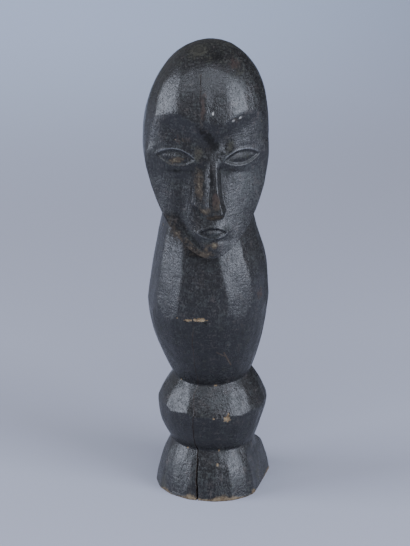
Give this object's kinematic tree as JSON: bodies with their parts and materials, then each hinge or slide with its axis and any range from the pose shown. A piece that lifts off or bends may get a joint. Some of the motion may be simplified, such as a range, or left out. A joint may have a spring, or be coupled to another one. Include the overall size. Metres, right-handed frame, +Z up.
{
  "type": "carved wooden figure",
  "caption": "Small standing wooden figure with an egg-shaped head, a hollowed face and a body of stacked cones on a flared flat base.",
  "frame": {"origin": "on the flat underside, near its middle, at the height of the surface that the figure stands on", "axes": "+Z up the figure to its crown, -Y the way the face looks, +X to the right of a viewer who faces it"},
  "size_m": [0.061, 0.0586, 0.2183],
  "materials": {
    "stained_wood": "dark stained and waxed carved wood, worn brown at the edges"
  },
  "bodies": {
    "root": {"figure": "stained_wood"}
  },
  "joints": []
}
